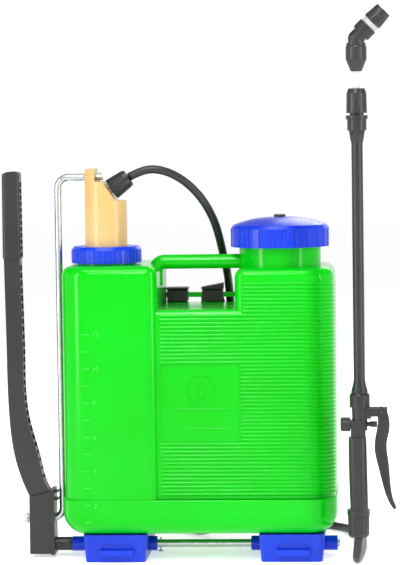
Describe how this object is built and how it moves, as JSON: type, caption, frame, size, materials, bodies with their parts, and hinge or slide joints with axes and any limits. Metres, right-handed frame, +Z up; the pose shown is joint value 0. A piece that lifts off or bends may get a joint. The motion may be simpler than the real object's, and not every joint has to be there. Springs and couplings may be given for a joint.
{
  "type": "backpack sprayer",
  "caption": "Lever-operated knapsack sprayer: ribbed tank with carry handle, filler lid, lever pump with link rod, hose and a trigger lance with swivel nozzle.",
  "frame": {"origin": "on the ground under the middle of the sprayer's box, hose left out", "axes": "+Z up, -Y the front with the level marks, +Y the wearer's side, +X towards the lance"},
  "size_m": [0.4667, 0.3453, 0.6532],
  "materials": {
    "tank_green": "glossy blow-moulded green polyethylene",
    "blue_plastic": "satin blue moulded plastic",
    "tan_plastic": "satin tan moulded plastic",
    "black_plastic": "satin black moulded plastic",
    "white_plastic": "satin natural plastic",
    "strainer_plastic": "dark moulded mesh",
    "grey_plastic": "light grey plastic",
    "clear_tube": "pale translucent fibreglass tube",
    "zinc_steel": "bright zinc-plated steel",
    "rubber": "black sealing rubber",
    "hose_rubber": "smooth black hose",
    "webbing": "black woven webbing"
  },
  "bodies": {
    "tank": {"tank": "tank_green", "left_foot": "blue_plastic", "right_foot": "blue_plastic", "foot_screws": "zinc_steel", "pump_gasket": "rubber", "pump_cylinder": "white_plastic", "pump_guide_bush": "white_plastic", "suction_valve": "white_plastic", "suction_filter": "white_plastic", "strap_hook_left": "black_plastic", "strap_hook_right": "black_plastic", "left_shoulder_strap": "webbing", "right_shoulder_strap": "webbing", "strap_buckles": "black_plastic", "hose_upper": "hose_rubber", "hose_lower": "hose_rubber"},
    "collar": {"pump_collar": "blue_plastic"},
    "suction_ball": {"suction_ball": "zinc_steel"},
    "lever": {"pump_lever": "black_plastic", "lever_grip": "black_plastic", "lever_bracket": "black_plastic", "axle_socket": "black_plastic", "lever_axle": "zinc_steel", "axle_split_pin": "zinc_steel", "rod_bottom_clip": "zinc_steel"},
    "rod": {"link_rod": "zinc_steel"},
    "chamber": {"pressure_chamber": "tan_plastic", "hose_tail": "white_plastic", "pump_hose_nut": "black_plastic", "piston_seal": "rubber", "piston_retainer": "white_plastic", "delivery_valve": "white_plastic", "rod_top_clip": "zinc_steel"},
    "delivery_ball": {"delivery_ball": "zinc_steel"},
    "lid_seal": {"lid_gasket": "rubber"},
    "lid": {"filler_lid": "blue_plastic", "lid_vent_valve": "black_plastic"},
    "strainer": {"filler_strainer": "strainer_plastic"},
    "lance_handle": {"handle_grip": "black_plastic", "lance_hose_nut": "black_plastic", "handle_tail": "white_plastic", "handle_filter": "white_plastic", "valve_cap": "black_plastic", "valve_spring": "zinc_steel", "trigger_pin": "zinc_steel", "lance_union_nut": "black_plastic", "lance_outer_tube": "black_plastic", "lance_socket": "black_plastic", "tube_seal": "rubber"},
    "trigger": {"trigger": "black_plastic"},
    "plunger": {"valve_plunger": "black_plastic"},
    "lock_nut": {"lance_lock_nut": "black_plastic"},
    "lance_extension": {"lance_inner_tube": "clear_tube", "elbow_nut": "black_plastic"},
    "elbow": {"nozzle_elbow": "black_plastic", "nozzle_union": "black_plastic", "nozzle_ring": "grey_plastic", "nozzle_core": "white_plastic"},
    "nozzle": {"nozzle_cap": "black_plastic"}
  },
  "joints": [
    {"name": "lever_swing", "type": "hinge", "parent": "tank", "child": "lever", "pos_m": [0, -0.015, 0.015], "axis": [-1, 0, 0], "range_deg": [0, 115]},
    {"name": "rod_hinge", "type": "hinge", "parent": "lever", "child": "rod", "pos_m": [-0.168, -0.015, 0.046], "axis": [-1, 0, 0], "range_deg": [-120, 0]},
    {"name": "pump_stroke", "type": "slide", "parent": "tank", "child": "chamber", "axis": [0, 0, 1], "range_m": [-0.0452, 0], "deforming": ["hose_upper"]},
    {"name": "collar_turn", "type": "hinge", "parent": "tank", "child": "collar", "pos_m": [-0.1106, -0.015, 0.36], "axis": [0, 0, 1], "continuous": true},
    {"name": "suction_ball_lift", "type": "slide", "parent": "tank", "child": "suction_ball", "axis": [0, 0, 1], "range_m": [0, 0.004]},
    {"name": "delivery_ball_lift", "type": "slide", "parent": "chamber", "child": "delivery_ball", "axis": [0, 0, 1], "range_m": [0, 0.004]},
    {"name": "lid_lift", "type": "slide", "parent": "tank", "child": "lid_seal", "axis": [0, 0, 1], "range_m": [0, 0.12]},
    {"name": "lid_turn", "type": "hinge", "parent": "lid_seal", "child": "lid", "pos_m": [0.097, -0.01, 0.39], "axis": [0, 0, 1], "continuous": true},
    {"name": "strainer_lift", "type": "slide", "parent": "tank", "child": "strainer", "axis": [0, 0, 1], "range_m": [0, 0.08]},
    {"name": "lance_lift", "type": "slide", "parent": "tank", "child": "lance_handle", "axis": [0, 0, 1], "range_m": [0, 0.25], "deforming": ["hose_lower"]},
    {"name": "trigger_squeeze", "type": "hinge", "parent": "lance_handle", "child": "trigger", "pos_m": [0.216, -0.1, 0.1815], "axis": [0, 1, 0], "range_deg": [0, 8], "stiffness_Nm_per_rad": 1.2, "springref_deg": -5.73},
    {"name": "plunger_push", "type": "slide", "parent": "lance_handle", "child": "plunger", "axis": [1, 0, 0], "range_m": [-0.003, 0]},
    {"name": "lock_nut_turn", "type": "hinge", "parent": "lance_handle", "child": "lock_nut", "pos_m": [0.191, -0.1, 0.54], "axis": [0, 0, 1], "continuous": true},
    {"name": "lance_extend", "type": "slide", "parent": "lance_handle", "child": "lance_extension", "axis": [0, 0, 1], "range_m": [0, 0.24]},
    {"name": "elbow_swivel", "type": "hinge", "parent": "lance_extension", "child": "elbow", "pos_m": [0.191, -0.1, 0.614], "axis": [0, 0, 1], "continuous": true},
    {"name": "nozzle_turn", "type": "hinge", "parent": "elbow", "child": "nozzle", "pos_m": [0.191, -0.1, 0.614], "axis": [0.7071, 0, 0.7071], "continuous": true}
  ],
  "couplings": [
    {"joint": "rod_hinge", "follows": "lever_swing", "ratio": -1.0342},
    {"joint": "pump_stroke", "follows": "lever_swing", "m_per_rad": -0.02245},
    {"joint": "plunger_push", "follows": "trigger_squeeze", "m_per_rad": -0.018},
    {"joint": "strainer_lift", "follows": "lid_lift", "ratio": 0.6}
  ]
}
